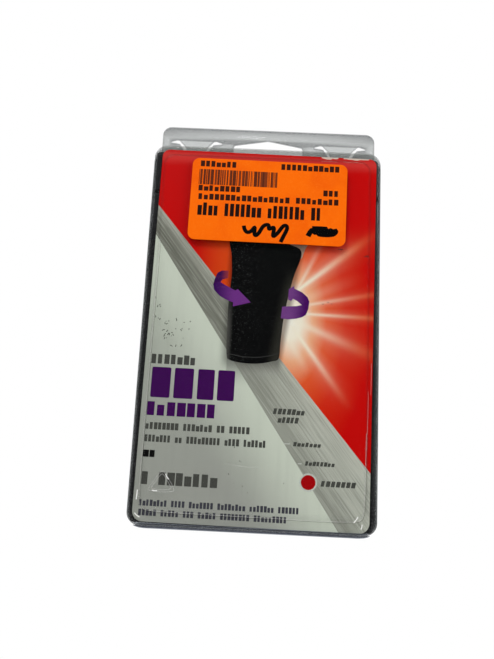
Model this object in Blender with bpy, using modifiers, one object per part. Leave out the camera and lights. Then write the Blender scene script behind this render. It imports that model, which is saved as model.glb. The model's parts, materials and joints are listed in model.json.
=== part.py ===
"""Folded elastic knee support in a clear hang pack.

The pack is a thermoformed clamshell: a deep front blister and a shallow back
tray, cut from one clear sheet and joined by a living hinge along the bottom.
The hang tab is two layers thick, with die-cut lock tongues that push through
both layers. A printed card stands behind the front face and the knee support,
a knitted elastic tube, lies folded behind the card.

Frame: metres, +Z up, the face looks along -Y. The origin is the top of the
hang hole, where a peg carries the pack, on the plane where the halves meet.
"""

import math

import bmesh
import bpy
from mathutils import Matrix, Vector

MM = 0.001
GAP = 0.3 * MM                      # clearance between touching pieces
SHEET = 0.4 * MM                    # thickness of the clear sheet
CORNER_STEPS = 6                    # segments in a rounded corner

# Depths along Y, from the plane where the two halves meet
FLANGE_INNER = 0.15 * MM            # half the gap between the two flanges
CARD_FRONT = -15.15 * MM
BORDER_OUTER = CARD_FRONT - 0.35 * MM - SHEET
PANEL_RISE = 1.0 * MM               # the front panel stands proud of its border
PANEL_OUTER = BORDER_OUTER - PANEL_RISE
BACK_OUTER = 4.05 * MM

# Heights along Z, from the top of the hang hole
TAB_TOP = 4.15 * MM
SHOULDER_TOP = -8.7 * MM            # top of the rim beside the hang tab
FACE_TOP, FACE_BOTTOM = -10.9 * MM, -149.4 * MM
MOUTH_TOP, MOUTH_BOTTOM = -9.7 * MM, -149.45 * MM
PANEL_TOP, PANEL_BOTTOM = -15.0 * MM, -144.0 * MM
RIM_BOTTOM = -149.55 * MM
HINGE_Z = RIM_BOTTOM - 0.55 * MM
TONGUE_HINGE_Z = -1.0 * MM

# Half-widths along X
RIM_HALF = 44.4 * MM
MOUTH_HALF = 43.3 * MM
FACE_HALF = 42.1 * MM
PANEL_HALF = 38.1 * MM
BACK_HALF = 42.0 * MM
TAB_HALF = 41.8 * MM
TONGUE_X = 28.3 * MM

RIM_RADIUS, TAB_RADIUS, FACE_RADIUS, PANEL_RADIUS = 4.4 * MM, 3.4 * MM, 4.8 * MM, 3.8 * MM
EDGE_RADIUS = 0.9 * MM              # formed edge between wall and face

HINGE_LENGTH = 74.0 * MM
HINGE_RADIUS = 0.27 * MM

CARD_SIZE = (79.8 * MM, 135.4 * MM, 0.45 * MM)
CARD_CENTRE = (0.15 * MM, -80.6 * MM)
CARD_TILT = math.radians(0.48)      # the card leans clockwise in its tray
CARD_RADII = (2.7 * MM, 3.6 * MM)   # top and bottom corners

LABEL_SIZE = (57.15 * MM, 31.75 * MM, 0.2 * MM)
LABEL_CENTRE = (0.9 * MM, -32.5 * MM)
LABEL_RADIUS = 2.6 * MM
LABEL_STANDOFF = 0.2 * MM           # from the panel to the back of the label

# Folded knee support: a flat tube folded to a quarter of its width and then
# once across, so each leaf is four layers and the fold lies at the bottom
SLEEVE_HALF = 41.3 * MM
SLEEVE_TOP, SLEEVE_BOTTOM = -13.9 * MM, -148.4 * MM
SLEEVE_FRONT, SLEEVE_BACK = -13.7 * MM, 2.3 * MM
LEAF_GAP = 0.3 * MM
CUFF_HEIGHT = 15.0 * MM
CUFF_INSET = 0.2 * MM               # a cuff is this much narrower than the tube at each side
SEAM_HEIGHT = 3.0 * MM              # the stitching's height above the lower edge of its cuff
SLEEVE_SIDE_RADIUS = 3.2 * MM
THREAD_RADIUS = 0.25 * MM
THREAD_STANDOFF = 0.1 * MM
CARE_LABEL_SIZE = (14.0 * MM, 19.0 * MM, 0.3 * MM)
CARE_LABEL_X = -22.0 * MM
CARE_LABEL_CAUGHT = 1.5 * MM        # how far the tag reaches up over its cuff
CARE_LABEL_STANDOFF = 0.15 * MM


def move_to(item, collection):
    """Move an object into one collection and out of all others."""
    for old in item.users_collection:
        old.objects.unlink(item)
    collection.objects.link(item)


def clear_scene():
    for item in list(bpy.data.objects):
        bpy.data.objects.remove(item, do_unlink=True)


def new_collection(name):
    collection = bpy.data.collections.new(name)
    bpy.context.scene.collection.children.link(collection)
    return collection


def material(name, color, roughness, metallic=0.0, alpha=1.0):
    mat = bpy.data.materials.new(name)
    mat.use_nodes = True
    shader = mat.node_tree.nodes["Principled BSDF"]
    shader.inputs["Base Color"].default_value = (*color, 1.0)
    shader.inputs["Roughness"].default_value = roughness
    shader.inputs["Metallic"].default_value = metallic
    shader.inputs["Alpha"].default_value = alpha
    return mat


def rounded_outline(corners, steps=CORNER_STEPS):
    """Points round a closed outline whose corners are (x, z, radius)."""
    points = []
    for index, (x, z, radius) in enumerate(corners):
        corner = Vector((x, z))
        before = (Vector(corners[index - 1][:2]) - corner).normalized()
        after = (Vector(corners[(index + 1) % len(corners)][:2]) - corner).normalized()
        half_angle = before.angle(after) / 2
        reach = radius / math.tan(half_angle)
        centre = corner + (before + after).normalized() * radius / math.sin(half_angle)
        start = corner + before * reach - centre
        sweep = start.angle_signed(corner + after * reach - centre)
        for step in range(steps + 1):
            turned = Matrix.Rotation(-sweep * step / steps, 2) @ start
            points.append(tuple(centre + turned))
    return points


def rectangle(half_width, bottom, top, radius, steps=CORNER_STEPS):
    corners = [(-half_width, bottom), (half_width, bottom), (half_width, top), (-half_width, top)]
    return rounded_outline([(x, z, radius) for x, z in corners], steps)


def mirrored(right_side):
    """A closed outline from its right half, listed from top to bottom."""
    left_side = [(-x, z, radius) for x, z, radius in reversed(right_side) if x > 0]
    return right_side + left_side


def plate(name, outlines, y_low, thickness, mat, collection):
    """A flat sheet in the XZ plane; outlines after the first are holes."""
    curve = bpy.data.curves.new(name, "CURVE")
    curve.dimensions = "2D"
    curve.fill_mode = "BOTH"
    curve.extrude = thickness / 2
    for outline in outlines:
        spline = curve.splines.new("POLY")
        spline.points.add(len(outline) - 1)
        for point, (x, z) in zip(spline.points, outline):
            point.co = (x, z, 0, 1)
        spline.use_cyclic_u = True
    drawn = bpy.data.objects.new(name + "_outline", curve)
    drawn.rotation_euler = (math.pi / 2, 0, 0)
    drawn.location = (0, y_low + thickness / 2, 0)
    collection.objects.link(drawn)
    bpy.context.view_layer.update()
    evaluated = drawn.evaluated_get(bpy.context.evaluated_depsgraph_get())
    mesh = bpy.data.meshes.new_from_object(evaluated)
    shape = bmesh.new()
    shape.from_mesh(mesh)
    bmesh.ops.remove_doubles(shape, verts=shape.verts, dist=1e-6)
    bmesh.ops.recalc_face_normals(shape, faces=shape.faces)
    shape.to_mesh(mesh)
    shape.free()
    sheet = bpy.data.objects.new(name, mesh)
    sheet.matrix_world = drawn.matrix_world.copy()
    bpy.data.objects.remove(drawn, do_unlink=True)
    collection.objects.link(sheet)
    sheet.data.materials.append(mat)
    return sheet


def lofted(name, sections, mat, collection, close_first=False):
    """A skin through rounded rectangles (half_width, bottom, top, radius, y), closed at the last."""
    shape = bmesh.new()
    rings = []
    for half_width, bottom, top, radius, y in sections:
        outline = rectangle(half_width, bottom, top, radius)
        rings.append([shape.verts.new((x, y, z)) for x, z in outline])
    for near, far in zip(rings, rings[1:]):
        for index in range(len(near)):
            after = (index + 1) % len(near)
            shape.faces.new((near[index], near[after], far[after], far[index]))
    shape.faces.new(rings[-1])
    if close_first:
        shape.faces.new(rings[0])
    bmesh.ops.recalc_face_normals(shape, faces=shape.faces)
    mesh = bpy.data.meshes.new(name)
    shape.to_mesh(mesh)
    shape.free()
    item = bpy.data.objects.new(name, mesh)
    collection.objects.link(item)
    item.data.materials.append(mat)
    return item


def union(target, other):
    """Join another closed solid into target, which keeps a single closed surface."""
    joint = target.modifiers.new("union_" + other.name, "BOOLEAN")
    joint.operation = "UNION"
    joint.solver = "EXACT"
    joint.object = other
    other.hide_render = True
    other.display_type = "WIRE"


def formed_sections(mouth, face, panel, panel_rise):
    """Sections of a drawn half from its mouth to its stepped panel.

    mouth and face are (half_width, bottom, top, radius, y); panel leaves out
    its y, because it stands panel_rise beyond the face."""
    outward = math.copysign(1.0, face[4] - mouth[4])
    half, bottom, top, radius, face_y = face
    edge = EDGE_RADIUS
    sections = [mouth]
    for angle in (0, 30, 60, 90):
        inset = edge * (1 - math.cos(math.radians(angle)))
        lift = edge * (1 - math.sin(math.radians(angle)))
        sections.append((half - inset, bottom + inset, top - inset, radius - inset, face_y - outward * lift))
    panel_half, panel_bottom, panel_top, panel_radius = panel
    slope = 0.35 * MM
    shoulder = 0.2 * MM
    panel_y = face_y + outward * panel_rise
    sections.append((panel_half + slope, panel_bottom - slope, panel_top + slope,
                     panel_radius + slope, face_y))
    sections.append((panel_half, panel_bottom, panel_top, panel_radius, panel_y - outward * shoulder))
    sections.append((panel_half - slope, panel_bottom + slope, panel_top - slope,
                     panel_radius - slope, panel_y))
    return sections


def tab_outline():
    """Outline of a flange with its rounded shoulders and its hang tab."""
    right = [(TAB_HALF, TAB_TOP, TAB_RADIUS), (TAB_HALF, SHOULDER_TOP, 0.8 * MM),
             (RIM_HALF, SHOULDER_TOP - 1.2 * MM, 1.0 * MM), (RIM_HALF, RIM_BOTTOM, RIM_RADIUS)]
    return rounded_outline(mirrored(right))


def hang_hole_outline():
    """Delta-shaped hang hole: a peg rests in its rounded peak."""
    right = [(0, 0.1 * MM, 6.0 * MM), (13.5 * MM, -2.3 * MM, 1.0 * MM), (13.8 * MM, -7.0 * MM, 1.6 * MM)]
    return rounded_outline(mirrored(right))


def tongue_hole_outline(centre_x):
    """Smile-shaped die cut whose wide outer ends stop the sheet from tearing."""
    right = [(6.9, 0.3, 0.1), (8.0, 0.25, 0.8), (10.3, -0.8, 0.3), (10.0, -1.5, 0.3),
             (6.6, -1.9, 0.8), (4.0, -6.2, 1.6)]
    corners = mirrored([(x * MM, z * MM, radius * MM) for x, z, radius in right])
    return [(x + centre_x, z + TONGUE_HINGE_Z) for x, z in rounded_outline(corners, 4)]


def tongue_outline(centre_x):
    right = [(6.7, 0.0, 0.1), (5.6, -1.3, 1.6), (4.4, -2.6, 1.6), (3.2, -5.4, 1.6)]
    corners = mirrored([(x * MM, z * MM, radius * MM) for x, z, radius in right])
    return [(x + centre_x, z + TONGUE_HINGE_Z) for x, z in rounded_outline(corners, 4)]


def clamshell_half(name, flange_y, mouth_y, face, panel, panel_rise, mat, parts, cutters):
    """One formed half: a flat flange with the hang tab, joined to its drawn cavity."""
    mouth = (MOUTH_HALF, MOUTH_BOTTOM, MOUTH_TOP, RIM_RADIUS - 0.6 * MM, mouth_y)
    inset = SHEET / 2
    opening = rectangle(MOUTH_HALF - inset, MOUTH_BOTTOM + inset, MOUTH_TOP - inset, RIM_RADIUS - 0.8 * MM)
    holes = [opening, hang_hole_outline()]
    holes += [tongue_hole_outline(side * TONGUE_X) for side in (-1, 1)]
    flange = plate(name, [tab_outline()] + holes, flange_y, SHEET, mat, parts)
    cavity = lofted(name + "_cavity", formed_sections(mouth, face, panel, panel_rise), mat, cutters)
    skin = cavity.modifiers.new("sheet", "SOLIDIFY")
    skin.thickness = SHEET
    skin.offset = -1
    skin.use_even_offset = True
    union(flange, cavity)
    return flange


def front_shell(mat, parts, cutters):
    flange_y = -FLANGE_INNER - SHEET
    face = (FACE_HALF, FACE_BOTTOM, FACE_TOP, FACE_RADIUS, BORDER_OUTER)
    panel = (PANEL_HALF, PANEL_BOTTOM, PANEL_TOP, PANEL_RADIUS)
    clamshell_half("front_shell", flange_y, flange_y + SHEET / 2, face, panel, PANEL_RISE,
                   mat, parts, cutters)


def back_shell(mat, parts, cutters):
    step = 0.6 * MM                 # the back panel stands proud of its border
    flange_y = FLANGE_INNER
    face = (BACK_HALF, FACE_BOTTOM + GAP, FACE_TOP, FACE_RADIUS, BACK_OUTER - step)
    panel = (PANEL_HALF, PANEL_BOTTOM, PANEL_TOP, PANEL_RADIUS)
    clamshell_half("back_shell", flange_y, flange_y + SHEET / 2, face, panel, step, mat, parts, cutters)


def living_hinge(mat, parts):
    """The rolled web of sheet along the bottom that the front half turns on."""
    bpy.ops.mesh.primitive_cylinder_add(vertices=12, radius=HINGE_RADIUS, depth=HINGE_LENGTH,
                                        location=(0, 0, HINGE_Z), rotation=(0, math.pi / 2, 0))
    web = bpy.context.object
    web.name = "living_hinge"
    move_to(web, parts)
    web.data.materials.append(mat)
    web.data.shade_smooth()
    web.data.set_sharp_from_angle(angle=math.radians(40))


def lock_tongues(mat, parts):
    """Four die-cut tongues, two in each layer of the tab, hinged at their top edge."""
    layers = (("front", -FLANGE_INNER - SHEET), ("rear", FLANGE_INNER))
    for layer, y_low in layers:
        for side, centre_x in (("left", -TONGUE_X), ("right", TONGUE_X)):
            plate(f"{layer}_lock_tongue_{side}", [tongue_outline(centre_x)], y_low, SHEET, mat, parts)


def leaning_plate(name, size, centre, radii, y_low, mat, parts):
    """A flat rectangle with rounded corners that leans clockwise with the card."""
    width, height, thickness = size
    bottom_radius, top_radius = radii
    corners = [(-width / 2, -height / 2, bottom_radius), (width / 2, -height / 2, bottom_radius),
               (width / 2, height / 2, top_radius), (-width / 2, height / 2, top_radius)]
    turn = Matrix.Rotation(-CARD_TILT, 2)
    outline = [tuple(turn @ Vector(point) + Vector(centre)) for point in rounded_outline(corners)]
    plate(name, [outline], y_low, thickness, mat, parts)


def insert_card(mat, parts):
    leaning_plate("insert_card", CARD_SIZE, CARD_CENTRE, reversed(CARD_RADII), CARD_FRONT, mat, parts)


def price_label(mat, parts):
    y_low = PANEL_OUTER - LABEL_STANDOFF - LABEL_SIZE[2]
    leaning_plate("price_label", LABEL_SIZE, LABEL_CENTRE, (LABEL_RADIUS, LABEL_RADIUS), y_low, mat, parts)


def leaf_faces():
    """Front and back Y of the two leaves of the folded support."""
    middle = (SLEEVE_FRONT + SLEEVE_BACK) / 2
    return ((SLEEVE_FRONT, middle - LEAF_GAP / 2), (middle + LEAF_GAP / 2, SLEEVE_BACK))


def pillow(name, half_width, bottom, top, y_low, y_high, mat, parts):
    """A soft slab with round side edges, standing in the XZ plane."""
    radius = min(SLEEVE_SIDE_RADIUS, (y_high - y_low) / 2 * 0.92)
    flat = [(y_low, radius), (y_low + radius * 0.3, radius * 0.3), (y_low + radius, 0)]
    flat += [(y_high - radius, 0), (y_high - radius * 0.3, radius * 0.3), (y_high, radius)]
    sections = [(half_width - inset, bottom + inset * 0.4, top - inset * 0.4, radius * 0.8, y)
                for y, inset in flat]
    return lofted(name, sections, mat, parts, close_first=True)


def sleeve_tube(mat, parts, cutters):
    """The knitted tube: two leaves that share one round fold at the bottom."""
    (front_low, front_high), (rear_low, rear_high) = leaf_faces()
    leaf_top = SLEEVE_TOP - CUFF_HEIGHT - GAP
    block = pillow("sleeve_tube", SLEEVE_HALF, SLEEVE_BOTTOM, leaf_top, front_low, rear_high, mat, parts)
    slit_depth = 6.0 * MM           # height of the solid fold under the slit
    bpy.ops.mesh.primitive_cube_add(size=1)
    slit = bpy.context.object
    slit.name = "leaf_slit"
    slit.scale = (SLEEVE_HALF * 2.4, rear_low - front_high, (leaf_top - SLEEVE_BOTTOM) * 2)
    slit.location = (0, (rear_low + front_high) / 2, SLEEVE_BOTTOM + slit_depth + slit.scale[2] / 2)
    move_to(slit, cutters)
    cut = block.modifiers.new("leaf_slit", "BOOLEAN")
    cut.operation = "DIFFERENCE"
    cut.solver = "EXACT"
    cut.object = slit
    slit.hide_render = True
    slit.display_type = "WIRE"


def cuffs(mat, thread_mat, parts):
    """Turned and stitched cuffs: the wide thigh end lies at the back, the calf end in front."""
    seam_z = SLEEVE_TOP - CUFF_HEIGHT + SEAM_HEIGHT
    outer_face = {"calf": SLEEVE_FRONT, "thigh": SLEEVE_BACK}
    for name, (y_low, y_high), outward in zip(("calf", "thigh"), leaf_faces(), (-1, 1)):
        pillow(name + "_cuff", SLEEVE_HALF - CUFF_INSET, SLEEVE_TOP - CUFF_HEIGHT, SLEEVE_TOP,
               y_low, y_high, mat, parts)
        bpy.ops.mesh.primitive_cylinder_add(vertices=8, radius=THREAD_RADIUS, depth=SLEEVE_HALF * 1.8,
                                            rotation=(0, math.pi / 2, 0))
        thread = bpy.context.object
        thread.name = name + "_cuff_thread"
        thread.location = (0, outer_face[name] + outward * (THREAD_RADIUS + THREAD_STANDOFF), seam_z)
        move_to(thread, parts)
        thread.data.materials.append(thread_mat)


def care_label(mat, parts):
    """Woven tag sewn into the thigh cuff, lying against the back of the bundle."""
    width, height, thickness = CARE_LABEL_SIZE
    top = SLEEVE_TOP - CUFF_HEIGHT + CARE_LABEL_CAUGHT
    outline = rounded_outline([(CARE_LABEL_X + x * width / 2, top - height * drop, 0.5 * MM)
                               for x, drop in ((-1, 1), (1, 1), (1, 0), (-1, 0))])
    plate("care_label", [outline], SLEEVE_BACK + CARE_LABEL_STANDOFF, thickness, mat, parts)


def build():
    clear_scene()
    parts = new_collection("packed_knee_support")
    cutters = new_collection("cutters")
    clear = material("clear_sheet", (0.78, 0.80, 0.80), 0.12, alpha=0.3)
    knit = material("black_knit", (0.012, 0.012, 0.014), 0.9)
    thread = material("black_thread", (0.02, 0.02, 0.022), 0.6)
    card = material("printed_card", (0.45, 0.03, 0.02), 0.35)
    label = material("orange_label", (0.95, 0.18, 0.01), 0.6)
    tag = material("woven_tag", (0.75, 0.75, 0.72), 0.8)
    back_shell(clear, parts, cutters)
    front_shell(clear, parts, cutters)
    living_hinge(clear, parts)
    lock_tongues(clear, parts)
    insert_card(card, parts)
    price_label(label, parts)
    sleeve_tube(knit, parts, cutters)
    cuffs(knit, thread, parts)
    care_label(tag, parts)


build()
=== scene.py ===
"""Looks of the folded elastic knee support in its clear hang pack.

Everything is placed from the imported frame: metres, +Z up, the printed face
looks along -Y, and the origin is the top of the hang hole."""

import json
import math
import random

import bmesh
import bpy
import numpy as np
from mathutils import Matrix, Vector


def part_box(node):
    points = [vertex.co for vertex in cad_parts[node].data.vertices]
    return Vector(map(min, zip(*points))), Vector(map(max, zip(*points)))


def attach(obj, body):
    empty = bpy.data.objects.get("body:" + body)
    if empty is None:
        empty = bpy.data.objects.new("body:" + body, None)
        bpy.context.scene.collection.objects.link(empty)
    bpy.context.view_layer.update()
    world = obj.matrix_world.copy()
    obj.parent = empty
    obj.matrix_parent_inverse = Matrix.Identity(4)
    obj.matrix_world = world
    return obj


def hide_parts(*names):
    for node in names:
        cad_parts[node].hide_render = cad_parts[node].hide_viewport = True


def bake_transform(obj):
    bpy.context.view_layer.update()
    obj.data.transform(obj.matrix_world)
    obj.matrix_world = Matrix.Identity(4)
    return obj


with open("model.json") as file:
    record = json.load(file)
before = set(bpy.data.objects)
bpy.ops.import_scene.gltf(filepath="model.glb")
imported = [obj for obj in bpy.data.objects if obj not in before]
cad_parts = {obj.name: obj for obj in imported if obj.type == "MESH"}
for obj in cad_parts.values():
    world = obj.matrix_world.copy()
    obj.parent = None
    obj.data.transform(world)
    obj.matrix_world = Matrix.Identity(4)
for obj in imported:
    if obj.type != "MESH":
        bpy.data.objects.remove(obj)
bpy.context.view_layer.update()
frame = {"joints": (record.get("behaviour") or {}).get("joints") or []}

MM = 0.001


def mm(*values):
    """Millimetres as metres."""
    return [value * MM for value in values]


# Depths and heights that the CAD nodes give
CARD_LOW, CARD_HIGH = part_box("insert_card")
LABEL_LOW, LABEL_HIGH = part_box("price_label")
TUBE_LOW, TUBE_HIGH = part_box("sleeve_tube")
CUFF_LOW, CUFF_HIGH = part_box("thigh_cuff")
PANEL_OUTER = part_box("front_shell")[0][1]
BACK_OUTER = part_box("back_shell")[1][1]
HINGE = next(joint for joint in frame["joints"] if joint["name"] == "living_hinge")["pos_m"]

# Outline of the clamshell, as part.py has it
SHEET, FLANGE_INNER, BACK_RISE = mm(0.4, 0.15, 0.6)
BORDER_OUTER = CARD_LOW[1] - 0.35 * MM - SHEET
TAB_TOP, SHOULDER_TOP, RIM_BOTTOM = mm(4.15, -8.7, -149.55)
FACE_TOP, FACE_BOTTOM, MOUTH_TOP, MOUTH_BOTTOM = mm(-10.9, -149.4, -9.7, -149.45)
RIM_HALF, MOUTH_HALF, FACE_HALF, BACK_HALF, TAB_HALF = mm(44.4, 43.3, 42.1, 42.0, 41.8)
RIM_RADIUS, TAB_RADIUS, FACE_RADIUS = mm(4.4, 3.4, 4.8)
PANEL = mm(38.1, -144.0, -15.0, 3.8)    # half width, bottom, top, corner radius
TONGUE_X, TONGUE_HINGE_Z, TONGUE_HINGE_HALF = mm(28.3, -1.0, 6.9)

# Right halves of the cuts in the tab, as (x, z, radius) in millimetres
HANG_HOLE = [(0, 0.1, 6.0), (13.5, -2.3, 1.0), (13.8, -7.0, 1.6)]
TONGUE_HOLE = [(6.9, 0.0, 0), (7.9, 0.1, 0.8), (10.3, -0.75, 0.3), (10.0, -1.45, 0.3),
               (6.6, -1.9, 0.8), (4.0, -6.2, 1.6)]
TONGUE = [(6.9, 0.0, 0), (5.7, -1.3, 1.8), (4.4, -2.7, 1.8), (3.2, -5.4, 1.6)]

# The card, in millimetres from its centre
CARD_TILT = math.radians(0.48)      # card and label lean clockwise in the tray
CARD_HALF_WIDTH, CARD_HALF_HEIGHT = 39.9, 67.7
LOW_RADIUS, TOP_RADIUS = 3.6, 2.7
BAND_TOP = ((-39.9, 45.5, 0), (39.9, -47.7, 0))    # where the red field meets the band
BAND_LOW = ((-39.9, 34.1, 0), (29.6, -67.7, 0))    # where the silver field meets it
ACROSS_BAND = (0.826, 0, 0.564)     # square to the band's lower edge
LABEL_HALF_WIDTH, LABEL_HALF_HEIGHT, LABEL_RADIUS = 28.57, 15.87, 2.6


# ---- outlines

def rounded_outline(corners, steps=10):
    """Points round a closed outline whose corners are (x, z, radius)."""
    points = []
    for index, (x, z, radius) in enumerate(corners):
        corner = Vector((x, z))
        if radius <= 0:
            points.append((x, z))
            continue
        before = (Vector(corners[index - 1][:2]) - corner).normalized()
        after = (Vector(corners[(index + 1) % len(corners)][:2]) - corner).normalized()
        half_angle = before.angle(after) / 2
        reach = radius / math.tan(half_angle)
        centre = corner + (before + after).normalized() * radius / math.sin(half_angle)
        start = corner + before * reach - centre
        sweep = start.angle_signed(corner + after * reach - centre)
        for step in range(steps + 1):
            turned = Matrix.Rotation(-sweep * step / steps, 2) @ start
            points.append(tuple(centre + turned))
    return points


def rectangle(half_width, bottom, top, radius, top_radius=None):
    above = radius if top_radius is None else top_radius
    return rounded_outline([(-half_width, bottom, radius), (half_width, bottom, radius),
                            (half_width, top, above), (-half_width, top, above)])


def mirrored(right_side):
    """A closed outline from its right half, listed from top to bottom."""
    left_side = [(-x, z, radius) for x, z, radius in reversed(right_side) if x > 0]
    return right_side + left_side


def cut_outline(right_side, centre_x=0.0, centre_z=0.0):
    """A cut in the tab, in metres, from its right half in millimetres."""
    corners = [mm(*corner) for corner in mirrored(right_side)]
    return [(x + centre_x, z + centre_z) for x, z in rounded_outline(corners)]


def smooth_outline(points, per_span=6):
    """A closed Catmull-Rom curve through a few points."""
    result = []
    for index in range(len(points)):
        p0, p1, p2, p3 = (Vector(points[(index + offset) % len(points)])
                          for offset in (-1, 0, 1, 2))
        for step in range(per_span):
            t = step / per_span
            result.append(tuple(0.5 * (2 * p1 + (p2 - p0) * t
                                       + (2 * p0 - 5 * p1 + 4 * p2 - p3) * t * t
                                       + (3 * p1 - p0 - 3 * p2 + p3) * t ** 3)))
    return result


# ---- meshes

def new_piece(name, mesh, *materials):
    piece = bpy.data.objects.new(name, mesh)
    bpy.context.scene.collection.objects.link(piece)
    for mat in materials:
        mesh.materials.append(mat)
    return piece


def from_bmesh(name, shape, *materials, smooth=None):
    """Turn a bmesh into a piece; smooth is the angle above which edges stay sharp."""
    bmesh.ops.recalc_face_normals(shape, faces=shape.faces)
    mesh = bpy.data.meshes.new(name)
    shape.to_mesh(mesh)
    shape.free()
    if smooth is not None:
        mesh.shade_smooth()
        mesh.set_sharp_from_angle(angle=math.radians(smooth))
    return new_piece(name, mesh, *materials)


def as_mesh(thing):
    """The mesh of a piece with its modifiers, or of a curve."""
    evaluated = thing.evaluated_get(bpy.context.evaluated_depsgraph_get())
    return bpy.data.meshes.new_from_object(evaluated)


def thicken(piece, thickness, offset, **settings):
    """Give a surface the sheet's or cloth's thickness, and apply it."""
    skin = piece.modifiers.new("sheet", "SOLIDIFY")
    skin.thickness = thickness
    skin.offset = offset
    for key, value in settings.items():
        setattr(skin, key, value)
    surface, piece.data = piece.data, as_mesh(piece)
    piece.modifiers.clear()
    bpy.data.meshes.remove(surface)


def add_spline(curve, kind, points):
    spline = curve.splines.new(kind)
    spline.points.add(len(points) - 1)
    for point, place in zip(spline.points, points):
        point.co = (*place, 1)
    return spline


def round_line(name, radius, resolution):
    curve = bpy.data.curves.new(name, "CURVE")
    curve.dimensions = "3D"
    curve.bevel_depth = radius
    curve.bevel_resolution = resolution
    curve.use_fill_caps = True
    return curve


def curve_mesh(curve):
    drawn = new_piece(curve.name, curve)
    bpy.context.view_layer.update()
    mesh = as_mesh(drawn)
    bpy.data.objects.remove(drawn, do_unlink=True)
    return mesh


def filled(outlines, y):
    """A bmesh of one flat sheet in the plane y; outlines after the first are holes."""
    curve = bpy.data.curves.new("fill", "CURVE")
    curve.dimensions = "2D"
    curve.fill_mode = "BOTH"
    for outline in outlines:
        add_spline(curve, "POLY", [(x, z, 0) for x, z in outline]).use_cyclic_u = True
    shape = bmesh.new()
    shape.from_mesh(curve_mesh(curve))
    for vert in shape.verts:
        vert.co = (vert.co.x, y, vert.co.y)
    return shape


def add_prism(shape, outline, near, far):
    """Add a closed slab: outline is in the slab's plane, near and far map it to space."""
    front = [shape.verts.new(near(point)) for point in outline]
    back = [shape.verts.new(far(point)) for point in outline]
    shape.faces.new(front)
    shape.faces.new(back[::-1])
    for index in range(len(front)):
        after = (index + 1) % len(front)
        shape.faces.new((front[index], back[index], back[after], front[after]))


def leaning_place(low, high, depth):
    """Maps millimetres on the card or label to space, depth metres in front of its face."""
    centre = Vector(((low[0] + high[0]) / 2, (low[2] + high[2]) / 2))
    turn = Matrix.Rotation(-CARD_TILT, 2)

    def place(point):
        x, z = turn @ (Vector(point[:2]) * MM) + centre
        return (x, low[1] - depth, z)
    return place


def leaning_slabs(outlines, low, high, front, back):
    """A bmesh of closed slabs; front and back are depths as leaning_place has them."""
    near, far = leaning_place(low, high, front), leaning_place(low, high, back)
    shape = bmesh.new()
    for outline in outlines:
        add_prism(shape, outline, near, far)
    return shape


def inlay(name, outlines, level, mat, low=CARD_LOW, high=CARD_HIGH):
    """Ink printed on the card or label: thin slabs, level layers above the face."""
    ink, gap = mm(0.02, 0.002)
    shape = leaning_slabs(outlines, low, high, (level + 1) * ink, level * ink + gap)
    piece = from_bmesh(name, shape, mat)
    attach(piece, "front_half")


def stroke(name, lines, radius, mat, place, flatten=0.05, closed=False):
    """Flattened round lines through a few points each, lying on the card, label or sheet."""
    curve = round_line(name, radius * MM, 2)
    for points in lines:
        spline = add_spline(curve, "NURBS", [(x * MM, z * MM, 0) for x, z in points])
        spline.use_cyclic_u = closed
        spline.use_endpoint_u = not closed
        spline.order_u = min(4, len(points))
        spline.resolution_u = 5
    shape = bmesh.new()
    shape.from_mesh(curve_mesh(curve))
    bmesh.ops.remove_doubles(shape, verts=shape.verts, dist=1e-6)
    for vert in shape.verts:
        x, y, z = place((vert.co.x / MM, vert.co.y / MM))
        vert.co = (x, y - vert.co.z * flatten, z)
    piece = from_bmesh(name, shape, mat, smooth=60)
    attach(piece, "front_half")


# ---- materials

def srgb(red, green, blue):
    """A display colour of 0 to 255 as linear light."""
    linear = [value / 255 / 12.92 if value <= 10 else ((value / 255 + 0.055) / 1.055) ** 2.4
              for value in (red, green, blue)]
    return (*linear, 1.0)


def operator(operation, turned=False):
    """A Value's method that adds a Math node; turned swaps the operands."""
    def apply(self, other=0.0):
        first, second = (other, self) if turned else (self, other)
        return self.nodes.add("Math", {0: first, 1: second}, operation=operation)
    return apply


class Value:
    """What a node gives out; arithmetic on it adds the nodes that do it."""

    __add__, __sub__, __rsub__ = operator("ADD"), operator("SUBTRACT"), operator("SUBTRACT", True)
    __mul__, __pow__, __rpow__ = operator("MULTIPLY"), operator("POWER"), operator("POWER", True)
    __truediv__, __rtruediv__ = operator("DIVIDE"), operator("DIVIDE", True)
    at_least, sine, exponential = operator("MAXIMUM"), operator("SINE"), operator("EXPONENT")

    def __init__(self, nodes, socket):
        self.nodes, self.socket = nodes, socket

    def step(self, low, high):
        """0 below low, 1 above high, smooth between; low may exceed high."""
        return self.nodes.add("MapRange", {"Value": self, "From Min": low, "From Max": high},
                              interpolation_type="SMOOTHSTEP", clamp=True)

    def vector(self, operation, other=(0, 0, 0), output=0):
        return self.nodes.add("VectorMath", {0: self, 1: other}, output, operation=operation)

    def dot(self, direction):
        return self.vector("DOT_PRODUCT", direction, "Value")

    def across_and_up(self):
        return [self.nodes.add("SeparateXYZ", {0: self}, axis) for axis in "XZ"]

    def noise(self, scale, detail=3.0, roughness=0.5):
        return self.nodes.add("TexNoise", {"Vector": self, "Scale": scale, "Detail": detail,
                                           "Roughness": roughness}, "Fac")

    def bump(self, strength, distance, **normal):
        return self.nodes.add("Bump", {"Height": self, "Strength": strength,
                                       "Distance": distance, **normal})

    def coat(self, mask, color):
        """This colour, with another over it as far as mask says."""
        return self.nodes.mix(mask, self, color)


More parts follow.
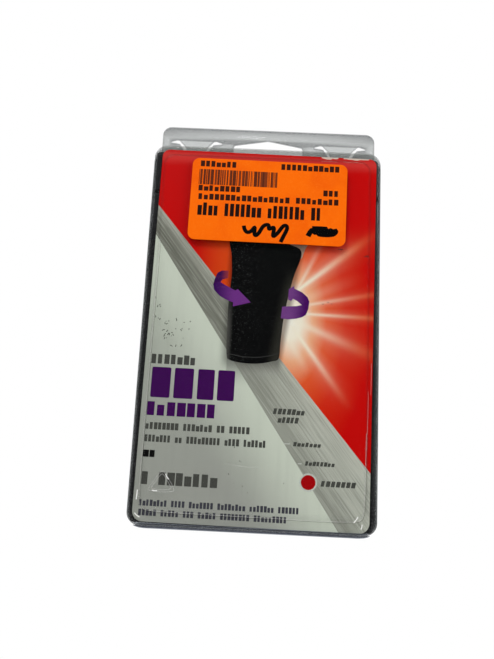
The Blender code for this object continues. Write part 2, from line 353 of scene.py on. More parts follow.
class Nodes:
    """Adds and links the nodes of one tree."""

    def __init__(self, tree):
        self.tree = tree

    def give(self, socket, value):
        if isinstance(value, Value):
            self.tree.links.new(value.socket, socket)
        else:
            socket.default_value = value

    def node(self, kind, inputs, **settings):
        made = self.tree.nodes.new("ShaderNode" + kind)
        for key, value in settings.items():
            setattr(made, key, value)
        for key, value in inputs.items():
            self.give(made.inputs[key], value)
        return made

    def add(self, kind, inputs=(), output=0, **settings):
        return Value(self, self.node(kind, dict(inputs), **settings).outputs[output])

    def mix(self, factor, first, second):
        """Mix two colours; one of three numbers is a display colour of 0 to 255."""
        first, second = (srgb(*color) if isinstance(color, tuple) and len(color) == 3 else color
                         for color in (first, second))
        return self.add("Mix", {0: factor, 6: first, 7: second}, 2, data_type="RGBA")


class Shader(Nodes):
    """The nodes of one new material."""

    def __init__(self, name, roughness=0.5, specular=0.5):
        self.material = bpy.data.materials.new(name)
        self.material.use_nodes = True
        super().__init__(self.material.node_tree)
        self.surface = self.tree.nodes["Principled BSDF"]
        self.surface.inputs["Roughness"].default_value = roughness
        self.surface.inputs["Specular IOR Level"].default_value = specular

    def place(self, centre=(0, 0, 0), scale=(1000, 1000, 1000), turn=0.0):
        """Object coordinates in millimetres from centre, turned about Y."""
        shifted = self.add("TexCoord", output="Object").vector("SUBTRACT", centre)
        return self.add("Mapping", {"Vector": shifted, "Rotation": (0, turn, 0), "Scale": scale})

    def card_place(self):
        """Millimetres from the leaning card's centre, and those across it and up it."""
        centre = [(low + high) / 2 for low, high in zip(CARD_LOW, CARD_HIGH)]
        spot = self.place(centre, turn=-CARD_TILT)
        return spot, *spot.across_and_up()

    def show(self, surface):
        self.give(self.tree.nodes["Material Output"].inputs["Surface"], surface)
        return self.material

    def finish(self, color, normal=None):
        self.give(self.surface.inputs["Base Color"], color)
        if normal:
            self.give(self.surface.inputs["Normal"], normal)
        return self.material


def clear_plastic(name, tint, haze, haze_color=(0.62, 0.64, 0.65, 1.0), gloss_roughness=0.07,
                  through=0.93):
    """Thin clear sheet: see-through with a tint, a grazing gloss, and a little scuffed haze."""
    shader = Shader(name)
    facing = shader.add("LayerWeight", {"Blend": 0.5}, "Facing")
    grazing = facing ** 4.0
    # light that crosses the sheet at a slant runs a longer way through it
    way = 1.0 / (1.0 - facing).at_least(0.08)
    tint = shader.mix(through ** (way - 1.0), (0.16, 0.17, 0.18, 1.0), tint)
    waves = shader.place().noise(0.12, 2.0)
    scratches = shader.place(scale=(2600, 1000, 160), turn=0.5).noise(1.0, 4.0, 0.6)
    fine = scratches.step(0.63, 0.72)
    normal = fine.bump(0.12, 0.00005, Normal=waves.bump(0.12, 0.0012))
    gloss = shader.add("BsdfGlossy", {"Color": (1, 1, 1, 1), "Normal": normal,
                                      "Roughness": fine * 0.18 + gloss_roughness})
    clear = shader.add("BsdfTransparent", {"Color": tint})
    cloudy = shader.add("BsdfDiffuse", {"Color": haze_color, "Normal": normal})
    # haze is the sheet's scuffing; in the wall, cut edge, hinge and tongue copies the tint and haze
    # colour also carry painted shade and painted light
    hazed = grazing * (haze * 2.5) + (fine * 0.010 + haze)
    body = shader.add("MixShader", {0: hazed, 1: clear, 2: cloudy})
    shader.tree.nodes.remove(shader.surface)
    return shader.show(shader.add("MixShader", {0: grazing * 0.62 + 0.006, 1: body, 2: gloss}))


def ink_material(name, color, roughness=0.45):
    """Flat printing ink with a faint print mottle."""
    shader = Shader(name, roughness, specular=0.05)
    grain = shader.place().noise(3.0, 4.0, 0.7)
    linear = srgb(*color)
    darker = tuple(channel * 0.76 for channel in linear[:3]) + (1.0,)
    return shader.finish(shader.mix(grain.step(0.35, 0.7), linear, darker))


def leg_print(across, up):
    """Where the printed leg shows under the printed support, fading downwards."""
    return across.step(-11.7, -10.9) * across.step(7.5, 6.7) * up.step(-21.0, -12.5)


def past_right_edge(across, up):
    """Millimetres past the printed support's right edge, which widens upwards."""
    return up * -0.155 + (across - 8.7)


def support_shadow(across, up, reach):
    """A soft dark rim round the printed support, reach millimetres wide."""
    gap = (-12.0 - across).at_least(past_right_edge(across, up))
    return gap.step(reach, -0.6) * (up.step(-16.0, -10.0) * up.step(44.0, 36.0))


def burst_material():
    """Deep red print with a cream glow behind the leg and rays across it."""
    shader = Shader("print_red_burst", 0.35, specular=0.05)
    spot, across, up = shader.card_place()
    flat = spot.vector("SUBTRACT", (10.8, 0, 4.6)).vector("MULTIPLY", (1, 0, 0.50))
    distance = flat.vector("LENGTH", output="Value")
    glow_radius = 40.0               # millimetres across; the glow is twice as tall
    ramp = shader.node("ValToRGB", {0: distance / glow_radius})
    stops = [(0.0, (255, 254, 240)), (0.09, (255, 248, 226)), (0.19, (248, 176, 130)),
             (0.31, (236, 92, 44)), (0.48, (220, 42, 14)), (0.70, (207, 2, 0))]
    colors = ramp.color_ramp.elements
    colors.remove(colors[1])
    colors[0].color = srgb(*stops[0][1])
    for position, color in stops[1:]:
        colors.new(position).color = srgb(*color)
    # start point, direction in degrees, half-width at the start, spread, strength, length
    rays = [(9.0, 12.6, 40.3, 0.55, 0.030, 1.0, 48), (10.0, 10.3, 65.7, 0.45, 0.022, 0.7, 30),
            (10.0, 9.0, 12.1, 0.40, 0.020, 0.6, 44), (10.0, 7.1, -0.8, 0.35, 0.018, 0.8, 44),
            (10.0, 5.0, -21.8, 0.9, 0.040, 0.6, 42), (10.0, 3.6, -52.8, 0.5, 0.026, 0.9, 40),
            (10.0, -2.5, -57.9, 1.0, 0.060, 0.45, 16), (9.0, 9.5, 25.0, 1.2, 0.050, 0.22, 34)]
    light = None
    for x, z, degrees, width, spread, strength, length in rays:
        cosine, sine = math.cos(math.radians(degrees)), math.sin(math.radians(degrees))
        away = spot.vector("SUBTRACT", (x, 0, z))
        along, beside = away.dot((cosine, 0, sine)), away.dot((-sine, 0, cosine))
        ratio = beside / (along.at_least(0.0) * spread + width)
        square = ratio * ratio
        core, halo = (square * -1.0).exponential(), (square * -0.09).exponential()
        fade = along.step(0.0, 3.0) * along.step(length, length * 0.2)
        ray = (core * 0.74 + halo * 0.26) * fade * strength
        light = light.at_least(ray) if light else ray
    ray_color = shader.mix(distance.step(6.0, 30.0), (255, 248, 224), (250, 158, 100))
    red = shader.mix(light * 0.95, Value(shader, ramp.outputs[0]), ray_color)
    # the top strip and the far left stay plain; an orange glow hugs the leg on the left
    plain = up.step(30.0, 46.0).at_least(across.step(-8.0, -12.0))
    red = red.coat(plain * 0.95, (208, 0, 0))
    hugging = across.step(-27.0, -12.0) * across.step(-8.0, -12.0) * up.step(48.0, 34.0)
    red = red.coat(hugging * 0.62, (234, 92, 24))
    red = red.coat(support_shadow(across, up, 1.8) * 0.62, (58, 16, 10))
    # painted highlight: a pale pink band just under the card's top edge, where the panel's top bead
    # reflects the light
    sheen = up.step(61.0, 65.4) * up.step(67.6, 66.4)
    red = red.coat(sheen * 0.35, (226, 90, 84))
    grain = shader.place().noise(2.5, 4.0, 0.7)
    return shader.finish(red.coat(grain * 0.10, (120, 0, 0)))


def silver_material():
    """Pale silver field, lighter towards the band and greyer towards the bottom."""
    shader = Shader("print_silver", 0.38, specular=0.06)
    spot, across, up = shader.card_place()
    base = shader.mix(up.step(-66.0, 24.0), (160, 162, 154), (178, 184, 171))
    base = base.coat(spot.dot(ACROSS_BAND).step(-40.0, -12.0) * 0.85, (215, 223, 206))
    base = base.coat(leg_print(across, up) * 0.55, (120, 122, 116))
    base = base.coat(support_shadow(across, up, 2.6) * 0.6, (70, 70, 66))
    streaks = shader.place(scale=(500, 500, 30)).noise(1.0)
    return shader.finish(base.coat(streaks.step(0.45, 0.7) * 0.06, (120, 124, 116)))


def brushed_material():
    """Brushed grey band: fine stripes along its length, darker on its lower-left edge."""
    shader = Shader("print_brushed_band", 0.36, specular=0.06)
    spot, across, up = shader.card_place()
    sideways, lengthways = spot.dot((0.790, 0, 0.613)), spot.dot((-0.613, 0, 0.790))
    wide = shader.add("CombineXYZ", {"X": sideways, "Z": lengthways * 0.02})
    base = shader.mix(up.step(-36.0, 16.0), (186, 189, 176), (126, 127, 115))
    edge = spot.dot(ACROSS_BAND).step(-12.4, -3.5)
    base = base.coat(edge * -0.45 + 0.45, (96, 98, 88))
    pale = spot.dot((0.760, 0, 0.650)).step(-4.5, 0.6)
    base = base.coat(pale * 0.62, (212, 215, 200))
    base = base.coat(wide.noise(0.55, 2.0).step(0.35, 0.65) * 0.18, (206, 209, 196))
    base = base.coat(wide.noise(1.9, 3.0, 0.7).step(0.40, 0.66) * 0.40, (98, 100, 90))
    base = base.coat(wide.noise(3.1, 2.0).step(0.56, 0.66) * 0.38, (206, 210, 198))
    base = base.coat(leg_print(across, up) * 0.35, (150, 152, 144))
    return shader.finish(base.coat(support_shadow(across, up, 2.4) * 0.6, (58, 58, 52)))


def printed_support_material():
    """Picture of the black support: sparkling grain, a pale left edge and a greyer right side."""
    shader = Shader("print_black_support", 0.42, specular=0.04)
    spot, across, up = shader.card_place()
    left = across.step(-9.6, -11.9) * up.step(18.0, -2.0)
    right = past_right_edge(across, up).step(-5.5, -0.8) * up.step(26.0, 14.0)
    knit = shader.place(scale=(1000, 1000, 700)).noise(1.5, 4.0, 0.75)
    sparkle = spot.noise(1.5, 2.0).step(0.60, 0.74) * across.step(3.0, -6.0)
    base = shader.mix(knit.step(0.45, 0.85), (3, 4, 4), (26, 27, 26))
    base = base.coat(sparkle * 0.35, (82, 84, 82)).coat(left * 0.55, (104, 103, 98))
    return shader.finish(base.coat(right * 0.65, (56, 55, 48)))


def ribbon_material(name, deep, sheen, lit_from, lit_to):
    """Purple ribbon ink that shades from deep to sheen along X, in card millimetres."""
    shader = Shader(name, 0.4, specular=0.05)
    across = shader.card_place()[1]
    streak = shader.place(scale=(300, 300, 1400)).noise(1.0)
    factor = streak * 0.35 + across.step(lit_from, lit_to)
    return shader.finish(shader.mix(factor - 0.15, deep, sheen))


def board_material():
    """Uncoated grey board: the card's back and edges."""
    shader = Shader("grey_board", 0.9, specular=0.1)
    pulp = shader.place().noise(1.6, 6.0, 0.7)
    flecks = shader.place().noise(4.5, 2.0).step(0.66, 0.72)
    base = shader.mix(pulp, (176, 170, 158), (206, 201, 190)).coat(flecks * 0.5, (120, 112, 100))
    return shader.finish(base, pulp.bump(0.3, 0.0001))


def label_material():
    """Fluorescent orange thermal paper with a fibrous surface."""
    shader = Shader("orange_paper", 0.62, specular=0.04)
    fibres = shader.place().noise(1.7, 5.0, 0.8)
    clouds = shader.place().noise(0.09, 2.0)
    base = shader.mix(clouds.step(0.35, 0.7), (248, 106, 0), (240, 94, 0))
    base = base.coat(fibres.step(0.50, 0.72) * 0.42, (255, 138, 34))
    return shader.finish(base, fibres.bump(0.15, 0.00005))


def knit_material(name, course_scale):
    """Black elastic knit: courses of stitches across the modelled ribs, and a dull sheen."""
    shader = Shader(name, 0.82, specular=0.25)
    spot = shader.place()
    across, up = spot.across_and_up()
    wave = (up * course_scale).sine()
    slant = (across * 10.0 + up * (course_scale * 0.5)).sine()
    height = spot.noise(5.0, 4.0, 0.8) * 0.6 + (wave * 0.35 + slant * 0.25)
    lint = spot.noise(1.1, 3.0, 0.7).step(0.72, 0.80)
    base = shader.mix(height * 0.35 + 0.3, (10, 10, 11), (34, 35, 37))
    shader.surface.inputs["Sheen Weight"].default_value = 0.12
    shader.surface.inputs["Sheen Roughness"].default_value = 0.5
    return shader.finish(base.coat(lint * 0.25, (120, 120, 118)), height.bump(0.6, 0.00018))


def thread_material():
    shader = Shader("black_thread", 0.5, specular=0.4)
    twist = shader.place().noise(4.0)
    return shader.finish(shader.mix(twist, (18, 18, 20), (58, 58, 62)), twist.bump(0.4, 0.0001))


def tag_material():
    """White satin tag with its close weave."""
    shader = Shader("woven_satin", 0.45, specular=0.45)
    across, up = shader.place().across_and_up()
    weave = (across * 24.0).sine() * (up * 18.0).sine()
    base = shader.mix(weave * 0.5 + 0.5, (214, 214, 208), (236, 236, 231))
    return shader.finish(base, weave.bump(0.35, 0.00006))


CLEAR = clear_plastic("clear_sheet", (0.978, 0.98, 0.98, 1), 0.0008)
CLEAR_TAB = clear_plastic("clear_flange", (0.868, 0.874, 0.872, 1), 0.030)
# clear_cut_edge: a darker copy of the sheet on its cut rims, painted shade that draws the cut edges
# as thin dark lines
CLEAR_EDGE = clear_plastic("clear_cut_edge", (0.50, 0.52, 0.53, 1), 0.20, (0.24, 0.25, 0.26, 1.0))
# clear_top_wall: a greyer, hazier copy for the top wall, painted shade for the grey strip it shows
# above the card
CLEAR_TOP = clear_plastic("clear_top_wall", (0.90, 0.91, 0.90, 1), 0.16, (0.60, 0.62, 0.60, 1.0),
                          0.12, 0.99)
# clear_base_wall: a darker blue-grey copy for the base wall, painted shade and painted reflection
# for the dark band along the bottom
CLEAR_BASE = clear_plastic("clear_base_wall", (0.66, 0.68, 0.71, 1), 0.10,
                           (0.20, 0.21, 0.23, 1.0), 0.10)
# clear_tongue: a lighter copy of the flange sheet, painted light that brings the lock tongues up to
# the tab's brightness
CLEAR_TONGUE = clear_plastic("clear_tongue", (0.892, 0.898, 0.896, 1), 0.036)
# folded_edge: a darker blue-grey copy for the hinge web, painted shade and painted reflection for
# the dark band along the bottom
FOLDED_EDGE = clear_plastic("folded_edge", (0.62, 0.64, 0.68, 1), 0.22, (0.14, 0.145, 0.16, 1.0),
                            0.12)


# ---- clamshell

def bridge(shape, loops, closed=True):
    """Add faces between each loop of points and the next; returns the last loop's corners."""
    rows = [[shape.verts.new(point) for point in loop] for loop in loops]
    for near, far in zip(rows, rows[1:]):
        for index in range(len(near) if closed else len(near) - 1):
            after = (index + 1) % len(near)
            shape.faces.new((near[index], near[after], far[after], far[index]))
    return rows[-1]


def shell_sections(mouth_y, face, face_y, rise):
    """Rounded rectangles (half_width, bottom, top, radius, y) from flange to panel."""
    outward = math.copysign(1.0, face_y - mouth_y)
    root, edge, bead = mm(0.35, 0.95, 0.5)
    quarter_turn = [math.pi / 2 * step / 5 for step in range(6)]

    def inset(outline, amount, y):
        half, bottom, top, radius = outline
        return half - amount, bottom + amount, top - amount, radius - amount, y

    sections = []
    for angle in quarter_turn:       # small root radius where the wall leaves the flange
        spread = root * (1 - math.sin(angle))
        sections.append((MOUTH_HALF + spread, MOUTH_BOTTOM, MOUTH_TOP + spread,
                         RIM_RADIUS - 0.6 * MM, mouth_y + outward * root * (1 - math.cos(angle))))
    for angle in quarter_turn:       # formed edge between wall and face
        sections.append(inset(face, edge * (1 - math.cos(angle)),
                              face_y - outward * edge * (1 - math.sin(angle))))
    sections.append(inset(face, edge + 0.3 * MM, face_y))
    for step in range(7):            # rounded step up to the panel
        angle = math.pi * step / 6
        climb = rise * (1 - math.cos(angle)) / 2
        sections.append(inset(PANEL, -bead * math.cos(angle), face_y + outward * climb))
    # a flat ring keeps the panel's shading flat
    sections.append(inset(PANEL, bead + 0.4 * MM, face_y + outward * rise))
    return sections


def clamshell_half(name, flange_y, face, face_y, rise, body):
    """One formed half as a single sheet: flange and hang tab, wall, border and panel."""
    rings = [[(x, y, z) for x, z in rectangle(*outline)]
             for *outline, y in shell_sections(flange_y, face, face_y, rise)]
    tab = [(TAB_HALF, TAB_TOP, TAB_RADIUS), (TAB_HALF, SHOULDER_TOP, 0.8 * MM),
           (RIM_HALF, SHOULDER_TOP - 1.2 * MM, 1.0 * MM), (RIM_HALF, RIM_BOTTOM, RIM_RADIUS)]
    mouth = [(x, z) for x, y, z in rings[0]]
    tongue_holes = [cut_outline(TONGUE_HOLE, side * TONGUE_X, TONGUE_HINGE_Z) for side in (-1, 1)]
    shape = filled([rounded_outline(mirrored(tab)), mouth, cut_outline(HANG_HOLE)] + tongue_holes,
                   flange_y)
    flange, cut, top_wall, base_wall = 1, 2, 3, 4    # material slots; 0 is the clear rest
    for flat in shape.faces:
        flat.material_index = flange
    shape.faces.new(bridge(shape, rings))
    bmesh.ops.remove_doubles(shape, verts=shape.verts, dist=2e-6)
    piece = from_bmesh(name, shape, CLEAR, CLEAR_TAB, CLEAR_EDGE, smooth=32)
    normals_out = piece.data.polygons[-1].normal.y * (face_y - flange_y) > 0
    thicken(piece, SHEET, -1 if normals_out else 1, use_even_offset=True, material_offset_rim=cut)
    piece.data.materials.append(CLEAR_TOP)
    piece.data.materials.append(CLEAR_BASE)
    off_flange, wall_reach, slack = mm(0.8, 0.9, 0.05)
    for polygon in piece.data.polygons:
        x, y, z = polygon.center
        uncut = (abs(z - TONGUE_HINGE_Z) < 0.02 * MM
                 and abs(abs(x) - TONGUE_X) < TONGUE_HINGE_HALF - slack)
        if uncut:
            polygon.material_index = flange
        # the top and base walls take the copies of the sheet that carry painted shade
        elif abs(y) > off_flange and z > FACE_TOP - off_flange:
            polygon.material_index = top_wall
        elif abs(y) > off_flange and z < FACE_BOTTOM + wall_reach:
            polygon.material_index = base_wall
        else:
            polygon.material_index = min(polygon.material_index, cut)
    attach(piece, body)
    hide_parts(name.replace("_formed", ""))


def shells():
    clamshell_half("front_shell_formed", -FLANGE_INNER - SHEET,
                   (FACE_HALF, FACE_BOTTOM, FACE_TOP, FACE_RADIUS),
                   BORDER_OUTER, BORDER_OUTER - PANEL_OUTER, "front_half")
    clamshell_half("back_shell_formed", FLANGE_INNER + SHEET,
                   (BACK_HALF, FACE_BOTTOM + 0.3 * MM, FACE_TOP, FACE_RADIUS),
                   BACK_OUTER - BACK_RISE, BACK_RISE, "back_half")


def tongues():
    """Die-cut lock tongues: each bends from its hinge line, and its mesh has extra rows just below
    that line.
    """
    bends = mm(0.3, 0.6, 1.0, 1.4, 1.9)
    layers = (("front", -FLANGE_INNER - SHEET, "front_half"), ("rear", FLANGE_INNER, "back_half"))
    for layer, y_low, parent in layers:
        for side, centre_x in (("left", -TONGUE_X), ("right", TONGUE_X)):
            shape = bmesh.new()
            add_prism(shape, cut_outline(TONGUE, centre_x, TONGUE_HINGE_Z),
                      lambda p: (p[0], y_low, p[1]), lambda p: (p[0], y_low + SHEET, p[1]))
            for face in shape.faces:
                uncut = face.calc_center_median().z > TONGUE_HINGE_Z - 0.02 * MM
                face.material_index = 0 if len(face.verts) > 4 or uncut else 1
            for bend in bends:
                bmesh.ops.bisect_plane(shape, geom=[*shape.verts, *shape.edges, *shape.faces],
                                       plane_co=(0, 0, TONGUE_HINGE_Z - bend),
                                       plane_no=(0, 0, 1), dist=1e-7)
            piece = from_bmesh(f"{layer}_tongue_{side}_formed", shape, CLEAR_TONGUE, CLEAR_EDGE)
            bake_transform(piece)
            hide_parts(f"{layer}_lock_tongue_{side}")


def living_hinge():
    """The web of sheet that joins both flanges: a narrow U that straightens as the pack opens."""
    half_gap = FLANGE_INNER + SHEET / 2
    reach = RIM_BOTTOM - HINGE[2]
    half_length = RIM_HALF - RIM_RADIUS * 0.6
    turn = [math.pi * step / 10 for step in range(11)]
    profile = [(half_gap, reach), (half_gap, reach / 2)]
    profile += [(half_gap * math.cos(angle), -half_gap * math.sin(angle)) for angle in turn]
    profile += [(-half_gap, reach / 2), (-half_gap, reach)]
    taper = ((0.05, 1.0), (0.4, 0.985), (0.8, 0.955), (1.0, 0.91))
    stations = [(-x, depth) for depth, x in taper] + [(x, depth) for depth, x in taper[::-1]]
    shape = bmesh.new()
    bridge(shape, [[(x * half_length, HINGE[1] + y, HINGE[2] + reach + (z - reach) * depth)
                    for y, z in profile] for x, depth in stations], closed=False)
    piece = from_bmesh("living_hinge_web", shape, FOLDED_EDGE, smooth=40)
    thicken(piece, SHEET * 0.6, 0)
    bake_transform(piece)
    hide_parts("living_hinge")


# ---- card

def card_board():
    outline = rectangle(CARD_HALF_WIDTH, -CARD_HALF_HEIGHT, CARD_HALF_HEIGHT, LOW_RADIUS,
                        TOP_RADIUS)
    shape = leaning_slabs([outline], CARD_LOW, CARD_HIGH, 0, CARD_LOW[1] - CARD_HIGH[1])
    board = from_bmesh("card_board", shape, board_material())
    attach(board, "front_half")
    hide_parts("insert_card")


def card_fields():
    half_w, half_h = CARD_HALF_WIDTH, CARD_HALF_HEIGHT
    red = [*BAND_TOP, (half_w, half_h, TOP_RADIUS), (-half_w, half_h, TOP_RADIUS)]
    band = [BAND_TOP[0], *BAND_LOW, (half_w, -half_h, LOW_RADIUS), BAND_TOP[1]]
    silver = [BAND_LOW[0], (-half_w, -half_h, LOW_RADIUS), BAND_LOW[1]]
    for name, corners, mat in (("card_red_field", red, burst_material()),
                               ("card_brushed_band", band, brushed_material()),
                               ("card_silver_field", silver, silver_material())):
        inlay(name, [rounded_outline(corners)], 0, mat)


def printed_support():
    """The card's picture of the support on a leg."""
    outline = [(-12.3, 36), (-11.8, 27), (-11.4, 20), (-11.9, 10), (-11.8, 0), (-11.5, -8.8),
               (-10.4, -11), (-5.5, -11.9), (0, -11.8), (4.5, -10.8), (6.9, -9.6), (7.3, -4),
               (7.8, 3), (8.6, 9), (9.8, 15.5), (11.2, 21.5), (12.9, 26.6), (13.4, 29.6),
               (12.2, 31.5), (8, 33), (0, 36)]
    skin = [(10, 36), (16.5, 36), (14.6, 31), (13.4, 27.5), (12.4, 30), (9, 33)]
    hem = [(-11.5, -8.6), (-5.5, -9.6), (0, -9.5), (4.5, -8.5), (7.0, -7.4)]
    hem += [(x, z - 0.25) for x, z in hem[::-1]]
    inlay("print_leg_skin", [smooth_outline(skin)], 1, ink_material("ink_skin", (176, 148, 130)))
    inlay("print_support", [smooth_outline(outline)], 2, printed_support_material())
    inlay("print_support_hem", [hem], 3, ink_material("ink_hem_line", (58, 58, 56)))


def printed_ribbons():
    """Two curved arrows that turn round the printed leg."""
    tail = [(-12.6, 21.6), (-15.0, 21.5), (-16.5, 20.6), (-17.3, 18.6), (-17.9, 15.8),
            (-15.6, 16.6), (-14.6, 18.2), (-12.6, 18.9)]
    left = [(-15.7, 17.4), (-17.8, 16.2), (-17.3, 14.1), (-15.2, 12.0), (-12.4, 10.6),
            (-10.3, 9.9), (-10.3, 8.4), (-4.0, 10.2), (-8.9, 14.9), (-9.7, 14.3), (-11.6, 15.2),
            (-13.8, 16.3)]
    right = [(9.3, 12.0), (10.4, 11.5), (11.0, 12.4), (12.6, 11.6), (14.3, 10.2), (12.4, 9.7),
             (9.6, 9.5), (7.3, 9.2), (7.0, 5.0), (9.5, 4.7), (12.4, 5.1), (14.6, 5.8),
             (15.9, 6.8), (16.6, 8.8), (16.9, 11.6), (16.2, 13.2), (14.2, 14.9), (11.3, 16.2),
             (11.3, 17.1), (9.4, 15.9)]
    tail_ink = ribbon_material("ink_purple_tail", (52, 6, 80), (150, 52, 60), -15.6, -12.2)
    left_ink = ribbon_material("ink_purple_band", (54, 6, 86), (112, 50, 134), -17.5, -9.0)
    right_ink = ribbon_material("ink_purple_turn", (118, 66, 136), (70, 4, 96), 9.5, 16.5)
    inlay("print_ribbon_tail", [tail], 3, tail_ink)
    inlay("print_ribbon_left", [left], 4, left_ink)
    inlay("print_ribbon_right", [right], 4, right_ink)


def block(left, right, low, high, radius=0.12, slant=0.0):
    lean = (high - low) * slant
    return rounded_outline([(left, low, radius), (right, low, radius),
                            (right + lean, high, radius), (left + lean, high, radius)], 3)


def word_row(left, right, low, high, words, slant=0.0, ink=0.74):
    """Blank blocks in place of a line of type: words lists how many characters each had."""
    pitch = (right - left) / (sum(words) + len(words) - 1)
    wiggle = random.Random(round(left * 10 + low * 7))
    blocks, cell = [], 0
    for length in words:
        for _ in range(length):
            x = left + cell * pitch
            width = pitch * (ink + wiggle.uniform(-0.10, 0.10))
            top = high - (high - low) * wiggle.choice((0.0, 0.0, 0.0, 0.22))
            blocks.append(block(x, x + width, low, top, min(0.12, width / 4), slant))
            cell += 1
        cell += 1
    return blocks


def word_rows(rows, **style):
    return [outline for row in rows for outline in word_row(*row, **style)]


def disc(x, z, radius, count=40):
    angles = [2 * math.pi * index / count for index in range(count)]
    return [(x + radius * math.cos(a), z + radius * math.sin(a)) for a in angles]


def card_type():
    """Every line of lettering on the card, as blank blocks of the same size and ink."""
    grey = ink_material("ink_dark_grey", (78, 79, 74))
    inlay("type_heading", word_row(-37.7, -21.7, -13.7, -10.3, [7]), 1, grey)
    title = [block(left, right, -25.6, -14.9, 0.5) for left, right in
             ((-37.1, -30.4), (-29.1, -22.4), (-20.9, -15.1), (-13.9, -8.0))]
    inlay("type_title", title + word_row(-37.8, -13.5, -31.9, -27.1, [7], ink=0.8), 1,
          ink_material("ink_purple", (66, 8, 88)))
    inlay("type_text", word_rows([(-37.8, -1.6, -36.7, -34.3, [8, 7, 2, 5]),
                                  (-37.8, 4.2, -41.0, -38.6, [7, 2, 9, 4, 6])]), 1, grey)
    inlay("type_size", word_row(-37.9, -33.4, -46.2, -43.8, [2], ink=0.85), 1,
          ink_material("ink_black", (14, 14, 14)))
    inlay("type_count", word_row(-37.7, -11.4, -55.4, -51.1, [1, 7], ink=0.8), 1, grey)
    inlay("type_notes", word_rows([(-37.8, 16.4, -62.5, -60.4, [8, 4, 7, 8, 7, 6]),
                                   (-37.8, 12.4, -65.7, -63.6, [5, 5, 3, 5, 8, 9])]), 1,
          ink_material("ink_slate", (70, 70, 78)))
    scale = [(5.8, 17.0, -29.2, -27.2, [7]), (7.5, 14.8, -32.1, -30.1, [5]),
             (13.2, 23.0, -39.9, -38.4, [7]), (17.5, 27.8, -46.2, -44.7, [8]),
             (23.1, 35.1, -52.9, -51.0, [7])]
    inlay("type_scale", word_rows(scale, slant=0.2), 1, grey)
    ticks = [block(10.2, 12.1, -39.35, -39.0, 0.05), block(15.1, 16.4, -45.85, -45.5, 0.05)]
    inlay("scale_ticks", ticks + [disc(18.9, -51.8, 3.05)], 1,
          ink_material("ink_pale", (206, 210, 200)))
    inlay("scale_dot", [disc(18.9, -51.8, 2.5)], 2, ink_material("ink_red_dot", (176, 0, 6)))


def card_wear():
    """Board showing where the coating has frayed along the top edge on the right."""
    wiggle = random.Random(5)
    flakes = []
    for start, end in ((19.4, 25.6), (27.6, 37.0)):
        top = CARD_HALF_HEIGHT - 0.02
        upper = [(start + (end - start) * i / 9, top) for i in range(10)]
        lower = [(x, top - 0.25 - wiggle.uniform(0.1, 0.75) * math.sin(math.pi * (i + 0.6) / 10.2))
                 for i, (x, _) in enumerate(upper)]
        flakes.append(upper[::-1] + lower)
    inlay("card_frayed_edge", flakes, 1, ink_material("bare_board", (236, 216, 200), 0.9))


